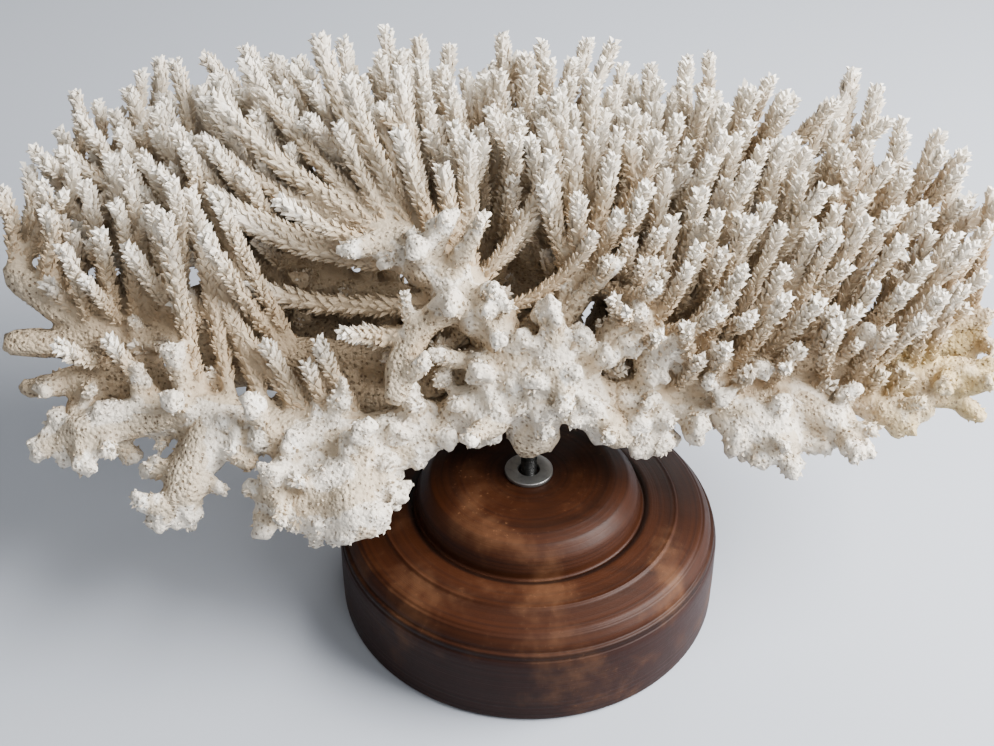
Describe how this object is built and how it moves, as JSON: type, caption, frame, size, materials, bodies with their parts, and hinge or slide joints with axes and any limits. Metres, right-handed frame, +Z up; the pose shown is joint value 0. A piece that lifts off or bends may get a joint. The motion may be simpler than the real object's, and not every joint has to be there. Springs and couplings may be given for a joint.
{
  "type": "branching coral on a turned stand",
  "caption": "Broad branching coral with upright scaly branchlets, held above a dark turned wooden stand by a short steel rod with a washer.",
  "frame": {"origin": "middle of the wooden base's underside", "axes": "+Z up through the rod, +X to the right along the coral's long side as seen from the front, +Y to the back"},
  "size_m": [0.4935, 0.2871, 0.2442],
  "materials": {
    "wood": "dark brown turned wood, waxed, satin gloss with worn patches",
    "rod_steel": "dark threaded steel",
    "washer_steel": "grey satin steel with a bright edge",
    "coral": "matt cream white coral rock, white at the tips and tan inside, with fine pores and scales"
  },
  "bodies": {
    "root": {"turned_base": "wood", "threaded_rod": "rod_steel", "washer": "washer_steel", "coral_foot": "coral", "front_left_limb": "coral", "left_limb": "coral", "back_left_limb": "coral", "back_limb": "coral", "back_right_limb": "coral", "right_limb": "coral", "front_right_limb": "coral", "fan_limb": "coral", "centre_limb": "coral"}
  },
  "joints": []
}
